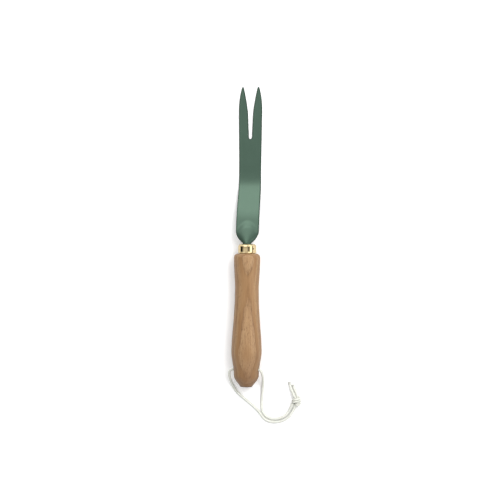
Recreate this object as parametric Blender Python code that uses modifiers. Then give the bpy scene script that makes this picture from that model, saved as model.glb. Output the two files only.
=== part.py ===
"""Hand weeding fork: a cranked steel blade with two tines on a tang, in a turned ash handle with a cord.

Metres, +Z up. +Y runs along the handle towards the tips of the tines. The tool lies face up on the plane
z = 0, on the handle's belly and on the flat front of the blade. The origin is on that plane, below the
middle of the tool's length.
"""

import math

import bmesh
import bpy
from mathutils import Vector

# Handle, turned about the tool's axis
HANDLE_LENGTH = 0.1405
SHOULDER_FACE_RADIUS = 0.0099
SHOULDER_RADIUS = 0.0140
SHOULDER_ROUND = 0.0046
WAIST_RADIUS = 0.01256
WAIST_FROM_SHOULDER = 0.0365
BELLY_RADIUS = 0.0160
BELLY_FROM_BUTT = 0.0395
COLLAR_RADIUS = 0.0135
COLLAR_FROM_BUTT = 0.0181
CHAMFER_RADIUS = 0.0131
CHAMFER_LENGTH = 0.0112
BUTT_RADIUS = 0.0066
BUTT_ROUND = 0.0007

# Ferrule and its pin
FERRULE_LENGTH = 0.0101
FERRULE_RADIUS = 0.0096
FERRULE_WALL = 0.0009
FERRULE_DOME_RADIUS = 0.0030
PIN_RADIUS = 0.0008
PIN_DEPTH = 0.0048
PIN_HEAD_HEIGHT = 0.00035
PIN_ANGLE = math.radians(52)

# Tang
TANG_RADIUS = 0.0027
TANG_TIP_RADIUS = 0.0014
TANG_TAPER_LENGTH = 0.022
TANG_DEPTH = 0.090
TANG_UNDER_BLADE = 0.0165
TANG_CHAMFER = 0.0009
WELD_RADIUS = 0.0010
WELD_START = 0.0045

# Blade: lengths are measured forward from the ferrule's face, or back from the tips
BLADE_REACH = 0.1682
BLADE_THICKNESS = 0.0020
BLADE_EDGE_PERCENT = 22
NECK_IN_FERRULE = 0.0006
SHOULDER_START = 0.0010
SHOULDER_END = 0.0143
BASE_WIDTH = 0.0247
BASE_END = 0.0340
WAIST_WIDTH = 0.0237
WAIST_AT = 0.0780
FRONT_WIDTH = 0.0251
BACK_BEND_START = 0.0164
CRANK_SLOPE = math.radians(16.5)
BACK_BEND_RADIUS = 0.0250
FRONT_BEND_RADIUS = 0.0480
NOTCH_DEPTH = 0.0558
NOTCH_RADIUS = 0.00165
NOTCH_DRAFT = math.radians(2.4)
TINE_TAPER_LENGTH = 0.0240
TINE_FLARE_LENGTH = 0.0300
TIP_SPACING = 0.0168
TIP_WIDTH = 0.0014
BOSS_WIDTH = 0.0164
BOSS_NOSE_START = 0.0178
BOSS_NOSE_LENGTH = 0.0046
BOSS_NOSE_ROUNDING = 0.0034
BOSS_NECK_POWER = 0.5
BOSS_NOSE_POWER = 1.5

# Lanyard
CORD_DIAMETER = 0.0028
CORD_STRAIGHT_LENGTH = 0.0007
HOLE_RADIUS = 0.0021
HOLE_MOUTH_RADIUS = 0.0030
HOLE_MOUTH_DEPTH = 0.0015

# Fits
CLEARANCE = 0.0003
PIN_CLEARANCE = 0.0002

# Facets
HANDLE_STEPS = 32
SMALL_STEPS = 24
PIN_STEPS = 12
PROFILE_SPACING = 0.0050
CORD_SPACING = 0.0042
WELD_SPACING = 0.0022
BLADE_COLUMNS = 9
MERGE_DISTANCE = 0.00001

# Places that follow from the sizes above
BUTT_Y = -(HANDLE_LENGTH + FERRULE_LENGTH + BLADE_REACH) / 2
SHOULDER_Y = BUTT_Y + HANDLE_LENGTH
FACE_Y = SHOULDER_Y + FERRULE_LENGTH
AXIS_Z = BELLY_RADIUS
HOLE_Y = BUTT_Y + COLLAR_FROM_BUTT
BORE_RADIUS = TANG_RADIUS + CLEARANCE
CROWN_RADIUS = BORE_RADIUS + BLADE_THICKNESS / 2
NECK_RADIUS = CROWN_RADIUS + BLADE_THICKNESS / 2
SPIGOT_RADIUS = FERRULE_RADIUS - FERRULE_WALL - CLEARANCE
SPIGOT_FACE_Y = FACE_Y - FERRULE_WALL - CLEARANCE
TANG_END_Y = SPIGOT_FACE_Y - TANG_DEPTH

# Materials: colour, roughness, metallic
GREEN_COAT = ("green_powder_coat", (0.105, 0.185, 0.130), 0.45, 0.0)
BRASS = ("polished_brass", (0.80, 0.60, 0.28), 0.18, 1.0)
STEEL = ("bare_steel", (0.36, 0.35, 0.34), 0.45, 1.0)
ASH = ("turned_ash", (0.40, 0.24, 0.12), 0.55, 0.0)
COTTON = ("cotton_cord", (0.80, 0.80, 0.75), 0.90, 0.0)

# The cord's two free stretches, from the cross hole to the knot, in millimetres from the hole's centre in
# plan and up from the ground. Each starts straight out of the hole, drops to the ground and lies along it.
LEFT_ROUTE = (
    (-16.2, -0.4, 15.9),
    (-18.4, -3.0, 13.9),
    (-19.1, -7.4, 10.6),
    (-18.7, -12.2, 7.1),
    (-17.6, -17.0, 4.0),
    (-15.7, -21.3, 2.1),
    (-12.9, -25.4, 1.5),
    (-7.8, -30.0, 1.5),
    (-2.2, -34.4, 1.5),
    (3.4, -38.8, 1.5),
    (8.2, -42.8, 1.5),
    (12.3, -47.1, 1.5),
    (16.2, -52.3, 1.5),
    (21.5, -55.6, 1.5),
    (27.8, -56.5, 1.5),
    (34.1, -55.8, 1.5),
    (39.7, -53.4, 1.5),
    (44.1, -49.8, 1.5),
    (47.2, -45.5, 1.7),
    (49.4, -41.2, 2.7),
    (50.6, -38.3, 3.7),
)
RIGHT_ROUTE = (
    (15.3, -0.8, 16.0),
    (16.2, -2.8, 14.7),
    (16.7, -6.6, 11.6),
    (16.6, -10.8, 7.8),
    (16.2, -15.1, 4.4),
    (15.7, -19.3, 2.3),
    (15.2, -23.8, 1.6),
    (14.7, -29.9, 1.5),
    (14.3, -35.3, 1.5),
    (14.3, -40.6, 1.5),
    (15.4, -45.9, 1.5),
    (18.3, -50.0, 1.5),
    (22.5, -52.5, 1.5),
    (27.8, -53.3, 1.5),
    (33.2, -52.6, 1.5),
    (37.9, -50.6, 1.5),
    (41.5, -47.6, 1.5),
    (44.1, -43.9, 1.8),
    (46.1, -39.9, 2.9),
    (47.4, -37.1, 3.9),
)
LEFT_TAIL = (
    (49.2, -27.3, 4.5),
    (46.9, -22.9, 2.6),
    (45.2, -18.7, 1.6),
    (43.7, -13.4, 1.5),
)
RIGHT_TAIL = (
    (52.7, -26.9, 4.5),
    (50.6, -22.8, 2.6),
    (48.9, -19.5, 1.6),
    (47.4, -16.3, 1.5),
)
KNOT_CENTRE = (52.1, -33.4, 4.6)
KNOT_CORE = (0.0041, 0.0047, 0.0036)
KNOT_WRAP_RADIUS = 0.0033
KNOT_STRAND_RADIUS = 0.0012
KNOT_TURN = math.radians(-16)
# Each wrap: how far along the knot, and its tilts about the knot's two cross axes, in degrees
KNOT_WRAPS = (
    (-0.0020, 14, 24),
    (0.0003, 10, 18),
    (0.0018, -12, -30),
)


def clear_scene():
    for thing in list(bpy.data.objects):
        bpy.data.objects.remove(thing, do_unlink=True)


def new_collection(name):
    collection = bpy.data.collections.new(name)
    bpy.context.scene.collection.children.link(collection)
    return collection


def make_material(recipe):
    name, colour, roughness, metallic = recipe
    material = bpy.data.materials.new(name)
    material.use_nodes = True
    shader = material.node_tree.nodes["Principled BSDF"]
    shader.inputs["Base Color"].default_value = (*colour, 1.0)
    shader.inputs["Roughness"].default_value = roughness
    shader.inputs["Metallic"].default_value = metallic
    material.diffuse_color = (*colour, 1.0)
    return material


def add_object(name, data, collection, recipe):
    """Links an object for the data, with its material. Without a recipe it is a hidden helper."""
    thing = bpy.data.objects.new(name, data)
    collection.objects.link(thing)
    if recipe:
        data.materials.append(make_material(recipe))
    else:
        thing.hide_render = True
        thing.display_type = "WIRE"
    return thing


def curve_through(points):
    """A finely stepped smooth curve through the given points."""
    fine_steps = 12
    padded = [2 * points[0] - points[1], *points, 2 * points[-1] - points[-2]]
    fine = []
    for a, b, c, d in zip(padded, padded[1:], padded[2:], padded[3:]):
        for step in range(fine_steps):
            t = step / fine_steps
            cubic = (3 * b - a - 3 * c + d) * t**3 + (2 * a - 5 * b + 4 * c - d) * t**2
            fine.append(b + (cubic + (c - a) * t) / 2)
    fine.append(points[-1])
    return fine


def spread_evenly(line, count):
    """The ends of a line of points and count - 1 more, equally far apart along it."""
    travelled = [0.0]
    for here, there in zip(line, line[1:]):
        travelled.append(travelled[-1] + (there - here).length)
    spread = []
    index = 0
    for step in range(count):
        wanted = travelled[-1] * step / count
        while travelled[index + 1] <= wanted:
            index += 1
        share = (wanted - travelled[index]) / (travelled[index + 1] - travelled[index])
        spread.append(line[index].lerp(line[index + 1], share))
    spread.append(line[-1])
    return spread


def smooth_route(points, spacing):
    """Points about a spacing apart on one smooth curve through the given ones."""
    fine = curve_through(points)
    return spread_evenly(fine, max(2, round(route_length(fine) / spacing)))


def route_length(route):
    return sum((there - here).length for here, there in zip(route, route[1:]))


def make_tube(name, route, radius, collection, recipe):
    """A round tube with closed ends along the route."""
    curve = bpy.data.curves.new(name, "CURVE")
    curve.dimensions = "3D"
    curve.bevel_depth = radius
    curve.bevel_resolution = 2
    curve.use_fill_caps = True
    spline = curve.splines.new("POLY")
    spline.points.add(len(route) - 1)
    for point, place in zip(spline.points, route):
        point.co = (*place, 1.0)
    spline.use_smooth = True
    return add_object(name, curve, collection, recipe)


def make_turned(name, profile, closed, steps, collection, recipe):
    """A solid of revolution about local Z. The profile is (along the axis, radius), down its outer side."""
    mesh = bpy.data.meshes.new(name)
    edges = [(i, i + 1) for i in range(len(profile) - 1)]
    if closed:
        edges.append((len(profile) - 1, 0))
    mesh.from_pydata([(radius, 0.0, along) for along, radius in profile], edges, [])
    thing = add_object(name, mesh, collection, recipe)
    screw = thing.modifiers.new("Turn", "SCREW")
    screw.axis = "Z"
    screw.steps = steps
    screw.render_steps = steps
    screw.use_merge_vertices = True
    screw.merge_threshold = MERGE_DISTANCE
    screw.use_smooth_shade = True
    return thing


def lay_on_axis(thing):
    """Turns local Z to +Y and puts it on the tool's axis, so that a profile is written in world Y."""
    thing.rotation_euler = (-math.pi / 2, 0.0, 0.0)
    thing.location = (0.0, 0.0, AXIS_Z)


def add_boolean(thing, operand, operation):
    boolean = thing.modifiers.new(operand.name, "BOOLEAN")
    boolean.operation = operation
    boolean.solver = "EXACT"
    boolean.object = operand


def arc(centre, radius, start, end, steps):
    """(along, radius) points on an arc in the profile's plane. Angle 0 points out from the axis."""
    points = []
    for step in range(steps + 1):
        angle = start + (end - start) * step / steps
        points.append((centre[0] + radius * math.sin(angle), centre[1] + radius * math.cos(angle)))
    return points


def handle_outline():
    """(along, radius) down the handle's outer side, from the shoulder's face to the start of the chamfer."""
    rounding = []
    round_steps = 4
    for step in range(round_steps + 1):
        angle = math.pi / 2 * (1 - step / round_steps)
        along = SHOULDER_Y - SHOULDER_ROUND * (1 - math.sin(angle))
        radius = SHOULDER_FACE_RADIUS + (SHOULDER_RADIUS - SHOULDER_FACE_RADIUS) * math.cos(angle)
        rounding.append((along, radius))
    waist_y = SHOULDER_Y - WAIST_FROM_SHOULDER
    belly_y = BUTT_Y + BELLY_FROM_BUTT
    collar_y = BUTT_Y + COLLAR_FROM_BUTT
    neck_in = SHOULDER_RADIUS - WAIST_RADIUS
    swell = BELLY_RADIUS - WAIST_RADIUS
    drop = BELLY_RADIUS - COLLAR_RADIUS
    stations = [
        rounding[-1],
        (SHOULDER_Y - WAIST_FROM_SHOULDER * 0.40, WAIST_RADIUS + neck_in * 0.76),
        (SHOULDER_Y - WAIST_FROM_SHOULDER * 0.70, WAIST_RADIUS + neck_in * 0.33),
        (waist_y, WAIST_RADIUS),
        (waist_y + (belly_y - waist_y) * 0.26, WAIST_RADIUS + swell * 0.11),
        (waist_y + (belly_y - waist_y) * 0.53, WAIST_RADIUS + swell * 0.40),
        (waist_y + (belly_y - waist_y) * 0.80, WAIST_RADIUS + swell * 0.81),
        (belly_y, BELLY_RADIUS),
        (belly_y + (collar_y - belly_y) * 0.26, BELLY_RADIUS - drop * 0.06),
        (belly_y + (collar_y - belly_y) * 0.50, BELLY_RADIUS - drop * 0.32),
        (belly_y + (collar_y - belly_y) * 0.74, BELLY_RADIUS - drop * 0.66),
        (collar_y, COLLAR_RADIUS),
        (BUTT_Y + CHAMFER_LENGTH + BUTT_ROUND, CHAMFER_RADIUS),
    ]
    smooth = smooth_route([Vector((*station, 0.0)) for station in stations], PROFILE_SPACING)
    ring = [(point.x, min(point.y, BELLY_RADIUS)) for point in smooth]
    lowest = max(range(len(ring)), key=lambda i: ring[i][1])
    ring[lowest] = (ring[lowest][0], BELLY_RADIUS)
    return rounding + ring[1:]


def make_handle(parts, helpers):
    dome_centre = (FACE_Y - FERRULE_DOME_RADIUS, FERRULE_RADIUS - FERRULE_DOME_RADIUS)
    spigot_round = FERRULE_DOME_RADIUS - FERRULE_WALL - CLEARANCE
    profile = [(TANG_END_Y - CLEARANCE, 0.0), (TANG_END_Y - CLEARANCE, BORE_RADIUS)]
    profile.append((SPIGOT_FACE_Y, BORE_RADIUS))
    profile += arc(dome_centre, spigot_round, math.pi / 2, 0.0, 3)
    profile.append((SHOULDER_Y, SPIGOT_RADIUS))
    profile += handle_outline()
    chamfer_run = CHAMFER_LENGTH - BUTT_ROUND
    chamfer_drop = CHAMFER_RADIUS - BUTT_RADIUS
    profile.append((BUTT_Y + chamfer_run * 0.80, CHAMFER_RADIUS - chamfer_drop * 0.14))
    profile.append((BUTT_Y + chamfer_run * 0.55, CHAMFER_RADIUS - chamfer_drop * 0.38))
    profile.append((BUTT_Y + BUTT_ROUND, BUTT_RADIUS))
    profile.append((BUTT_Y, BUTT_RADIUS - BUTT_ROUND))
    profile.append((BUTT_Y, 0.0))
    handle = make_turned("handle", profile, False, HANDLE_STEPS, parts, ASH)
    lay_on_axis(handle)
    add_boolean(handle, make_cross_hole(helpers), "DIFFERENCE")
    add_boolean(handle, make_pin_hole("pin_hole_in_spigot", helpers), "DIFFERENCE")
    return handle


def make_cross_hole(helpers):
    """The cord's hole across the handle, its two mouths flared so that the cord doesn't chafe."""
    reach = BELLY_RADIUS * 1.5
    flare_end = COLLAR_RADIUS + HOLE_MOUTH_DEPTH
    flare_start = COLLAR_RADIUS - HOLE_MOUTH_DEPTH
    flare_radius = 2 * HOLE_MOUTH_RADIUS - HOLE_RADIUS
    profile = [(reach, 0.0), (reach, flare_radius), (flare_end, flare_radius), (flare_start, HOLE_RADIUS)]
    profile += [(-along, radius) for along, radius in reversed(profile)]
    cutter = make_turned("cross_hole_cutter", profile, False, SMALL_STEPS, helpers, None)
    cutter.rotation_euler = (0.0, math.pi / 2, 0.0)
    cutter.location = (0.0, HOLE_Y, AXIS_Z)
    return cutter


def place_pin(thing):
    """Points local Z out through the ferrule's side, halfway along it."""
    thing.rotation_euler = (0.0, PIN_ANGLE, 0.0)
    thing.location = (0.0, (SHOULDER_Y + FACE_Y) / 2, AXIS_Z)


def make_pin_hole(name, helpers):
    top = FERRULE_RADIUS * 1.3
    bottom = FERRULE_RADIUS - PIN_DEPTH - PIN_CLEARANCE
    radius = PIN_RADIUS + PIN_CLEARANCE
    profile = [(top, 0.0), (top, radius), (bottom, radius), (bottom, 0.0)]
    cutter = make_turned(name, profile, False, PIN_STEPS, helpers, None)
    place_pin(cutter)
    return cutter


def make_ferrule(parts, helpers):
    """A drawn brass cap over the spigot, domed at its front edge, with a hole for the blade's neck."""
    centre = (FACE_Y - FERRULE_DOME_RADIUS, FERRULE_RADIUS - FERRULE_DOME_RADIUS)
    hole_radius = NECK_RADIUS + CLEARANCE
    rear = SHOULDER_Y + CLEARANCE
    profile = [(FACE_Y - FERRULE_WALL, hole_radius), (FACE_Y, hole_radius)]
    profile += arc(centre, FERRULE_DOME_RADIUS, math.pi / 2, 0.0, 5)
    profile += [(rear, FERRULE_RADIUS), (rear, FERRULE_RADIUS - FERRULE_WALL)]
    profile += arc(centre, FERRULE_DOME_RADIUS - FERRULE_WALL, 0.0, math.pi / 2, 4)
    ferrule = make_turned("ferrule", profile, True, HANDLE_STEPS, parts, BRASS)
    lay_on_axis(ferrule)
    add_boolean(ferrule, make_pin_hole("pin_hole_in_ferrule", helpers), "DIFFERENCE")
    return ferrule


def make_ferrule_pin(parts):
    bottom = FERRULE_RADIUS - PIN_DEPTH
    top = FERRULE_RADIUS + PIN_HEAD_HEIGHT
    profile = [
        (top, 0.0),
        (top - PIN_HEAD_HEIGHT * 0.3, PIN_RADIUS * 0.6),
        (top - PIN_HEAD_HEIGHT, PIN_RADIUS),
        (bottom + PIN_RADIUS, PIN_RADIUS),
        (bottom, PIN_RADIUS * 0.4),
        (bottom, 0.0),
    ]
    pin = make_turned("ferrule_pin", profile, False, PIN_STEPS, parts, BRASS)
    place_pin(pin)
    return pin


def make_tang(parts):
    """The rod from under the blade's boss, through the ferrule, to its tapered end in the handle's bore."""
    front = FACE_Y + TANG_UNDER_BLADE
    profile = [
        (front, 0.0),
        (front, TANG_RADIUS - TANG_CHAMFER),
        (front - TANG_CHAMFER, TANG_RADIUS),
        (TANG_END_Y + TANG_TAPER_LENGTH, TANG_RADIUS),
        (TANG_END_Y, TANG_TIP_RADIUS),
        (TANG_END_Y, 0.0),
    ]
    tang = make_turned("tang", profile, False, SMALL_STEPS, parts, STEEL)
    lay_on_axis(tang)
    return tang


def weld_corner(along):
    """(across, lift) of the weld's middle, in the corner between the tang and the sheet's underside."""
    away = TANG_RADIUS + CLEARANCE + WELD_RADIUS
    below = BLADE_THICKNESS / 2 + CLEARANCE + WELD_RADIUS
    section = spread_evenly([Vector(point) for point in blade_section(along)], 120)
    angle = math.radians(-80)
    corner = Vector((away * math.cos(angle), away * math.sin(angle)))
    while min((point - corner).length for point in section) > below and angle < 0:
        angle += math.radians(1)
        corner = Vector((away * math.cos(angle), away * math.sin(angle)))
    return tuple(corner)


def make_tang_weld(parts):
    """A fillet weld under the blade, along both sides of the tang and round its end."""
    reach, drop = weld_corner(TANG_UNDER_BLADE)
    turn_at = TANG_UNDER_BLADE - reach / 2
    starts = (WELD_START, (WELD_START + turn_at) / 2)
    side = [(weld_corner(along)[0], along, weld_corner(along)[1]) for along in starts]
    path = list(side)
    turn_steps = 6
    for step in range(turn_steps + 1):
        angle = math.pi * step / turn_steps
        path.append((reach * math.cos(angle), turn_at + reach * math.sin(angle), drop))
    path += [(-across, along, lift) for across, along, lift in reversed(side)]
    points = [Vector((across, FACE_Y + along, AXIS_Z + lift)) for across, along, lift in path]
    return make_tube("tang_weld", smooth_route(points, WELD_SPACING), WELD_RADIUS, parts, STEEL)


def crank_places():
    """Where the back bend ends, where the front bend starts, and the heel, where the front lies flat."""
    bends = BACK_BEND_RADIUS + FRONT_BEND_RADIUS
    drop = AXIS_Z - BLADE_THICKNESS / 2
    back_end = BACK_BEND_START + BACK_BEND_RADIUS * math.sin(CRANK_SLOPE)
    front_start = back_end + (drop - bends * (1 - math.cos(CRANK_SLOPE))) / math.tan(CRANK_SLOPE)
    return back_end, front_start, front_start + FRONT_BEND_RADIUS * math.sin(CRANK_SLOPE)


def crank_height(along):
    """Height of the sheet's middle plane: level at the axis, down the crank, level on the ground."""
    back_end, front_start, heel = crank_places()
    if along <= BACK_BEND_START:
        return AXIS_Z
    if along >= heel:
        return BLADE_THICKNESS / 2
    if along < back_end:
        past = along - BACK_BEND_START
        return AXIS_Z - BACK_BEND_RADIUS + math.sqrt(BACK_BEND_RADIUS**2 - past**2)
    if along > front_start:
        before = heel - along
        return BLADE_THICKNESS / 2 + FRONT_BEND_RADIUS - math.sqrt(FRONT_BEND_RADIUS**2 - before**2)
    start = AXIS_Z - BACK_BEND_RADIUS * (1 - math.cos(CRANK_SLOPE))
    return start - (along - back_end) * math.tan(CRANK_SLOPE)


def ease(share):
    """A smooth rise from 0 to 1."""
    share = min(1.0, max(0.0, share))
    return share * share * (3 - 2 * share)


def outer_edge(along):
    """Half of the sheet's width at a distance along the blade."""
    base = BASE_WIDTH / 2
    waist = WAIST_WIDTH / 2
    front = FRONT_WIDTH / 2
    tip = (TIP_SPACING + TIP_WIDTH) / 2
    taper_start = BLADE_REACH - TINE_TAPER_LENGTH
    if along <= SHOULDER_START:
        return CROWN_RADIUS
    if along < SHOULDER_END:
        share = (along - SHOULDER_START) / (SHOULDER_END - SHOULDER_START)
        return CROWN_RADIUS + (base - CROWN_RADIUS) * (1 - (1 - share) ** 2.4) ** 1.5
    if along < WAIST_AT:
        return base + (waist - base) * ease((along - BASE_END) / (WAIST_AT - BASE_END))
    if along < taper_start:
        return waist + (front - waist) * ease((along - WAIST_AT) / (taper_start - WAIST_AT))
    return front - (front - tip) * ((along - taper_start) / TINE_TAPER_LENGTH) ** 2


def inner_edge(along):
    """Half of the notch's width between the tines, and 0 behind its round end."""
    floor = BLADE_REACH - NOTCH_DEPTH
    if along <= floor:
        return 0.0
    if along < floor + NOTCH_RADIUS:
        return math.sqrt(NOTCH_RADIUS**2 - (floor + NOTCH_RADIUS - along) ** 2)
    straight = NOTCH_RADIUS + (along - floor - NOTCH_RADIUS) * math.tan(NOTCH_DRAFT)
    straight_at_tip = NOTCH_RADIUS + (NOTCH_DEPTH - NOTCH_RADIUS) * math.tan(NOTCH_DRAFT)
    flare = (TIP_SPACING - TIP_WIDTH) / 2 - straight_at_tip
    share = max(0.0, 1 - (BLADE_REACH - along) / TINE_FLARE_LENGTH)
    return straight + flare * share**1.5


def boss_lift(across, along, foot):
    """How much of the boss's height is left here. Its nose is rounded in plan and fades forward."""
    past_nose = along + BOSS_NOSE_ROUNDING * (across / foot) ** 2 - BOSS_NOSE_START
    return 1 - ease(past_nose / BOSS_NOSE_LENGTH)


def blade_section(along):
    """(across, lift) from the middle of the sheet to its edge.

    Over the tang the boss is half round at the neck and widens to a soft dome at its nose. The flange
    lies flat beyond it.
    """
    edge = outer_edge(along)
    nose_end = BOSS_NOSE_START + BOSS_NOSE_LENGTH
    if along >= nose_end:
        start = Vector((inner_edge(along), 0.0))
        return [tuple(point) for point in spread_evenly([start, Vector((edge, 0.0))], BLADE_COLUMNS)]
    share = min(1.0, max(0.0, (along - SHOULDER_START) / (BOSS_NOSE_START - SHOULDER_START)))
    foot = min(CROWN_RADIUS + (BOSS_WIDTH / 2 - CROWN_RADIUS) * share, edge)
    power = BOSS_NECK_POWER + (BOSS_NOSE_POWER - BOSS_NECK_POWER) * share
    steps = 24
    line = []
    for step in range(steps + 1):
        across = math.sin(math.pi / 2 * step / steps)
        line.append(Vector((foot * across, CROWN_RADIUS * max(0.0, 1 - across**2) ** power)))
    line.append(Vector((edge, 0.0)))
    apart = [line[0], *[b for a, b in zip(line, line[1:]) if (b - a).length > MERGE_DISTANCE]]
    section = spread_evenly(apart, BLADE_COLUMNS)
    return [(point.x, point.y * boss_lift(point.x, along, foot)) for point in section]


def blade_stations():
    """Distances along the blade at which its section is set, closer where it curves."""
    back_end, front_start, heel = crank_places()
    floor = BLADE_REACH - NOTCH_DEPTH
    nose_end = BOSS_NOSE_START + BOSS_NOSE_LENGTH
    spans = (
        (-NECK_IN_FERRULE, SHOULDER_START, 1),
        (SHOULDER_START, SHOULDER_END, 6),
        (SHOULDER_END, nose_end, 8),
        (nose_end, back_end, 2),
        (back_end, front_start, 2),
        (front_start, heel, 5),
        (heel, floor, 2),
    )
    stations = [start + (end - start) * step / steps for start, end, steps in spans for step in range(steps)]
    notch_steps = 4
    for step in range(notch_steps + 1):
        stations.append(floor + NOTCH_RADIUS * (1 - math.cos(math.pi / 2 * step / notch_steps)))
    flare_start = BLADE_REACH - TINE_FLARE_LENGTH
    stations += [(stations[-1] + flare_start) / 2, flare_start]
    flare_steps = 9
    stations += [flare_start + TINE_FLARE_LENGTH * (step + 1) / flare_steps for step in range(flare_steps)]
    return stations


def make_blade(parts):
    """Half of the sheet's middle surface, mirrored, thickened and broken along its edges."""
    points = []
    stations = blade_stations()
    for along in stations:
        for across, lift in blade_section(along):
            points.append((across, along, crank_height(along) + lift))
    faces = []
    width = BLADE_COLUMNS + 1
    for row in range(len(stations) - 1):
        for column in range(BLADE_COLUMNS):
            corner = row * width + column
            faces.append((corner, corner + 1, corner + width + 1, corner + width))
    mesh = bpy.data.meshes.new("blade")
    mesh.from_pydata(points, [], faces)
    mesh.shade_smooth()
    blade = add_object("blade", mesh, parts, GREEN_COAT)
    blade.location = (0.0, FACE_Y, 0.0)
    mirror = blade.modifiers.new("Other half", "MIRROR")
    mirror.merge_threshold = MERGE_DISTANCE
    sheet = blade.modifiers.new("Sheet", "SOLIDIFY")
    sheet.thickness = BLADE_THICKNESS
    sheet.offset = 0.0
    sheet.use_even_offset = True
    edge = blade.modifiers.new("Broken edge", "BEVEL")
    edge.limit_method = "ANGLE"
    edge.angle_limit = math.radians(55)
    edge.offset_type = "PERCENT"
    edge.width_pct = BLADE_EDGE_PERCENT
    edge.segments = 1
    return blade


def make_lanyard(parts):
    """The cord as it lies: through the handle, in two free stretches to the knot, and two short tails."""
    radius = CORD_DIAMETER / 2
    mouth = COLLAR_RADIUS - CLEARANCE
    hole = Vector((0.0, HOLE_Y, 0.0))
    inside = [Vector((-mouth, HOLE_Y, AXIS_Z)), Vector((mouth, HOLE_Y, AXIS_Z))]
    make_tube("lanyard_in_handle", smooth_route(inside, CORD_SPACING), radius, parts, COTTON)
    routes = (
        ("lanyard_left_strand", LEFT_ROUTE, -COLLAR_RADIUS),
        ("lanyard_right_strand", RIGHT_ROUTE, COLLAR_RADIUS),
        ("lanyard_left_tail", LEFT_TAIL, None),
        ("lanyard_right_tail", RIGHT_TAIL, None),
    )
    for name, places, mouth_x in routes:
        points = [hole + Vector(place) / 1000 for place in places]
        if mouth_x is None:
            route = smooth_route(points, CORD_SPACING)
        else:
            mouth_end = Vector((mouth_x, HOLE_Y, AXIS_Z))
            straight_end = mouth_end + Vector((math.copysign(CORD_STRAIGHT_LENGTH, mouth_x), 0.0, 0.0))
            route = [mouth_end, *smooth_route([straight_end, *points], CORD_SPACING)]
        make_tube(name, route, radius, parts, COTTON)
        print(f"{name}: {route_length(route) * 1000:.1f} mm")


def make_knot(parts, helpers):
    """The overhand knot's outer form: a rounded core with the turns of the strands over it, as one body."""
    centre = Vector((0.0, HOLE_Y, 0.0)) + Vector(KNOT_CENTRE) / 1000
    mesh = bpy.data.meshes.new("lanyard_knot")
    form = bmesh.new()
    bmesh.ops.create_uvsphere(form, u_segments=20, v_segments=12, radius=1.0)
    bmesh.ops.scale(form, vec=KNOT_CORE, verts=form.verts)
    form.to_mesh(mesh)
    form.free()
    mesh.shade_smooth()
    knot = add_object("lanyard_knot", mesh, parts, COTTON)
    knot.location = centre
    knot.rotation_euler = (0.0, 0.0, KNOT_TURN)
    for number, (along, tilt, lean) in enumerate(KNOT_WRAPS):
        bpy.ops.mesh.primitive_torus_add(
            major_segments=20,
            minor_segments=8,
            major_radius=KNOT_WRAP_RADIUS,
            minor_radius=KNOT_STRAND_RADIUS,
        )
        wrap = bpy.context.object
        wrap.name = f"knot_wrap_{number + 1}"
        for collection in list(wrap.users_collection):
            collection.objects.unlink(wrap)
        helpers.objects.link(wrap)
        wrap.hide_render = True
        wrap.display_type = "WIRE"
        wrap.rotation_euler = (math.radians(90 + tilt), 0.0, math.radians(lean) + KNOT_TURN)
        wrap.location = centre + Vector((-math.sin(KNOT_TURN), math.cos(KNOT_TURN), 0.0)) * along
        add_boolean(knot, wrap, "UNION")
    return knot


def main():
    clear_scene()
    parts = new_collection("weeding_fork")
    helpers = new_collection("cutters")
    make_blade(parts)
    make_tang(parts)
    make_tang_weld(parts)
    make_ferrule(parts, helpers)
    make_ferrule_pin(parts)
    make_handle(parts, helpers)
    make_lanyard(parts)
    make_knot(parts, helpers)


main()
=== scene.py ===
"""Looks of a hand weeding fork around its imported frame: finer pieces for its blade, tang, ferrule, handle
and cord, their materials, and the studio.
"""

import math

import bmesh
import bpy
import numpy as np
from mathutils import Matrix, Vector


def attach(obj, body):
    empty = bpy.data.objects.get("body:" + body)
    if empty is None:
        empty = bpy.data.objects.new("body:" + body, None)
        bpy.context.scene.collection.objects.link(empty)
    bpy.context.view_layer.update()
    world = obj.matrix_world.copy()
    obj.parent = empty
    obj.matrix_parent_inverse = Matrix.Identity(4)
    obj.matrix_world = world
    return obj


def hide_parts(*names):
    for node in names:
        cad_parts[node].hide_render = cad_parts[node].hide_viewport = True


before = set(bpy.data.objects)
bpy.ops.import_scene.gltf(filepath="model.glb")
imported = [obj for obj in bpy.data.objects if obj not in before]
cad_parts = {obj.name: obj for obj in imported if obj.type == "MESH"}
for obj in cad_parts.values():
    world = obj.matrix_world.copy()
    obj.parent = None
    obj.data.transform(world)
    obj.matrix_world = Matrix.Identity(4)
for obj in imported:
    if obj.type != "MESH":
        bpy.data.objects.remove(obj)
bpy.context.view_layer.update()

# Sizes of the frame, in metres
BUTT_Y = -0.1594
SHOULDER_Y = -0.0189
FACE_Y = -0.0088
AXIS_Z = 0.0160
HOLE_Y = BUTT_Y + 0.0181

# Handle outline: distance from the butt, radius
HANDLE_OUTLINE = (
    (0.13590, 0.014000), (0.12590, 0.013654), (0.11495, 0.013035), (0.10400, 0.012560),
    (0.08723, 0.012938), (0.06981, 0.013936), (0.05240, 0.015346), (0.03950, 0.016000),
    (0.03394, 0.015850), (0.02880, 0.015200), (0.02366, 0.014350), (0.01810, 0.013500),
    (0.01120, 0.013100), (0.00840, 0.012190), (0.00578, 0.010630),
)
SHOULDER_RADIUS = 0.01400
SHOULDER_FACE_RADIUS = 0.0099
SHOULDER_ROUND = 0.0046
CHAMFER_END = (0.0008, 0.00664)
BUTT_ROUND = 0.0008
HANDLE_LENGTH = 0.1405
BELLY_RADIUS = 0.0160

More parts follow.
